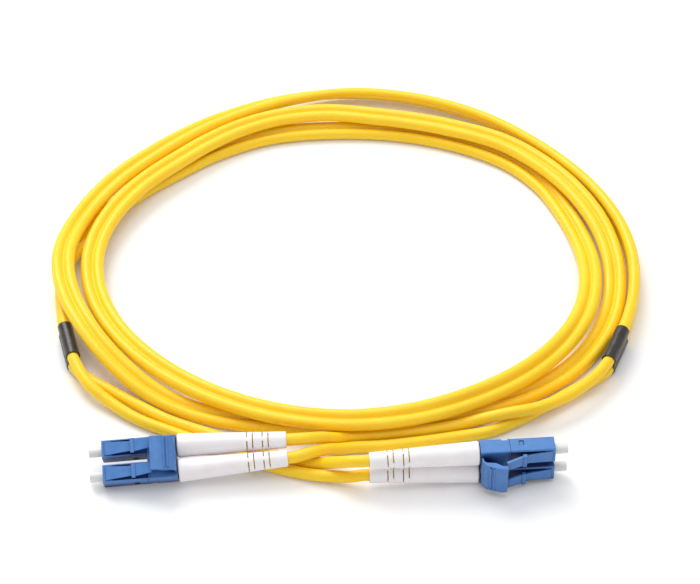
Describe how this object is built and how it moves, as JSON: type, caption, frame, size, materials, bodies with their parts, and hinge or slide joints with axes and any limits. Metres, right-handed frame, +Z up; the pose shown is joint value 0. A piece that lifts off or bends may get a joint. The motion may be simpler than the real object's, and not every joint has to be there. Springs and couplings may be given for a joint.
{
  "type": "fiber optic patch cord",
  "caption": "Duplex LC to LC fiber optic patch cord: a coiled yellow twin cord whose legs end in blue clipped plugs with latches, white boots and ferrule caps",
  "frame": {"origin": "middle of the two connectors' common box, on the surface that the cord lies on", "axes": "+X along the connectors from end a to end b, +Y from the connectors to the coil, +Z up"},
  "size_m": [0.1558, 0.1569, 0.0128],
  "materials": {
    "jacket": "smooth satin PVC jacket",
    "blue_plastic": "moulded, satin gloss",
    "boot_white": "soft moulded elastomer, satin",
    "cap_clear": "milky translucent moulded cap",
    "shrink_black": "heat-shrunk sleeve, slight sheen",
    "zirconia": "polished",
    "holder_metal": "turned, nickel plated",
    "spring_steel": "drawn wire",
    "crimp_metal": "plated crimp tube",
    "buffer": "smooth tight buffer"
  },
  "bodies": {
    "cord": {"zipcord": "jacket", "split_sleeve_a": "shrink_black", "split_sleeve_b": "shrink_black", "duplex_clip_a": "blue_plastic", "duplex_clip_b": "blue_plastic", "leg_a1": "jacket", "housing_a1": "blue_plastic", "rear_body_a1": "blue_plastic", "spring_a1": "spring_steel", "buffered_fiber_a1": "buffer", "crimp_sleeve_a1": "crimp_metal", "boot_a1": "boot_white", "leg_a2": "jacket", "housing_a2": "blue_plastic", "rear_body_a2": "blue_plastic", "spring_a2": "spring_steel", "buffered_fiber_a2": "buffer", "crimp_sleeve_a2": "crimp_metal", "boot_a2": "boot_white", "leg_b1": "jacket", "housing_b1": "blue_plastic", "rear_body_b1": "blue_plastic", "spring_b1": "spring_steel", "buffered_fiber_b1": "buffer", "crimp_sleeve_b1": "crimp_metal", "boot_b1": "boot_white", "leg_b2": "jacket", "housing_b2": "blue_plastic", "rear_body_b2": "blue_plastic", "spring_b2": "spring_steel", "buffered_fiber_b2": "buffer", "crimp_sleeve_b2": "crimp_metal", "boot_b2": "boot_white"},
    "trigger_a": {"trigger_a": "blue_plastic"},
    "trigger_b": {"trigger_b": "blue_plastic"},
    "latch_a1": {"latch_a1": "blue_plastic"},
    "latch_a2": {"latch_a2": "blue_plastic"},
    "latch_b1": {"latch_b1": "blue_plastic"},
    "latch_b2": {"latch_b2": "blue_plastic"},
    "ferrule_set_a1": {"ferrule_a1": "zirconia", "ferrule_holder_a1": "holder_metal"},
    "ferrule_set_a2": {"ferrule_a2": "zirconia", "ferrule_holder_a2": "holder_metal"},
    "ferrule_set_b1": {"ferrule_b1": "zirconia", "ferrule_holder_b1": "holder_metal"},
    "ferrule_set_b2": {"ferrule_b2": "zirconia", "ferrule_holder_b2": "holder_metal"},
    "cap_a1": {"dust_cap_a1": "cap_clear"},
    "cap_a2": {"dust_cap_a2": "cap_clear"},
    "cap_b1": {"dust_cap_b1": "cap_clear"},
    "cap_b2": {"dust_cap_b2": "cap_clear"}
  },
  "joints": [
    {"name": "trigger_a_press", "type": "hinge", "parent": "cord", "child": "trigger_a", "pos_m": [-0.03773, -0.00012, 0.00778], "axis": [0.0812, -0.8876, -0.4534], "range_deg": [0, 13], "stiffness_Nm_per_rad": 0.06},
    {"name": "trigger_b_press", "type": "hinge", "parent": "cord", "child": "trigger_b", "pos_m": [0.03814, -0.00358, 0.0061], "axis": [0, 0, 1], "range_deg": [0, 13], "stiffness_Nm_per_rad": 0.06},
    {"name": "latch_a1_flex", "type": "hinge", "parent": "cord", "child": "latch_a1", "pos_m": [-0.05371, -0.00362, 0.00487], "axis": [0.0812, -0.8876, -0.4534], "range_deg": [-6.5, 0]},
    {"name": "latch_a2_flex", "type": "hinge", "parent": "cord", "child": "latch_a2", "pos_m": [-0.05421, 0.00193, 0.00771], "axis": [0.0812, -0.8876, -0.4534], "range_deg": [-6.5, 0]},
    {"name": "latch_b1_flex", "type": "hinge", "parent": "cord", "child": "latch_b1", "pos_m": [0.05434, -0.00165, 0.00923], "axis": [0, 0, 1], "range_deg": [-6.5, 0]},
    {"name": "latch_b2_flex", "type": "hinge", "parent": "cord", "child": "latch_b2", "pos_m": [0.05434, -0.00165, 0.00298], "axis": [0, 0, 1], "range_deg": [-6.5, 0]},
    {"name": "ferrule_a1_float", "type": "slide", "parent": "cord", "child": "ferrule_set_a1", "axis": [-0.9965, -0.0644, -0.0523], "range_m": [-0.001, 0], "stiffness_N_per_m": 2500, "deforming": ["spring_a1"]},
    {"name": "ferrule_a2_float", "type": "slide", "parent": "cord", "child": "ferrule_set_a2", "axis": [-0.9965, -0.0644, -0.0523], "range_m": [-0.001, 0], "stiffness_N_per_m": 2500, "deforming": ["spring_a2"]},
    {"name": "ferrule_b1_float", "type": "slide", "parent": "cord", "child": "ferrule_set_b1", "axis": [0.9972, 0.075, 0], "range_m": [-0.001, 0], "stiffness_N_per_m": 2500, "deforming": ["spring_b1"]},
    {"name": "ferrule_b2_float", "type": "slide", "parent": "cord", "child": "ferrule_set_b2", "axis": [0.9972, 0.075, 0], "range_m": [-0.001, 0], "stiffness_N_per_m": 2500, "deforming": ["spring_b2"]},
    {"name": "dust_cap_a1_pull", "type": "slide", "parent": "ferrule_set_a1", "child": "cap_a1", "axis": [-0.9965, -0.0644, -0.0523], "range_m": [0, 0.008]},
    {"name": "dust_cap_a2_pull", "type": "slide", "parent": "ferrule_set_a2", "child": "cap_a2", "axis": [-0.9965, -0.0644, -0.0523], "range_m": [0, 0.008]},
    {"name": "dust_cap_b1_pull", "type": "slide", "parent": "ferrule_set_b1", "child": "cap_b1", "axis": [0.9972, 0.075, 0], "range_m": [0, 0.008]},
    {"name": "dust_cap_b2_pull", "type": "slide", "parent": "ferrule_set_b2", "child": "cap_b2", "axis": [0.9972, 0.075, 0], "range_m": [0, 0.008]}
  ],
  "couplings": [
    {"joint": "latch_a1_flex", "follows": "trigger_a_press", "ratio": -0.5},
    {"joint": "latch_a2_flex", "follows": "trigger_a_press", "ratio": -0.5},
    {"joint": "latch_b1_flex", "follows": "trigger_b_press", "ratio": -0.5},
    {"joint": "latch_b2_flex", "follows": "trigger_b_press", "ratio": -0.5}
  ]
}
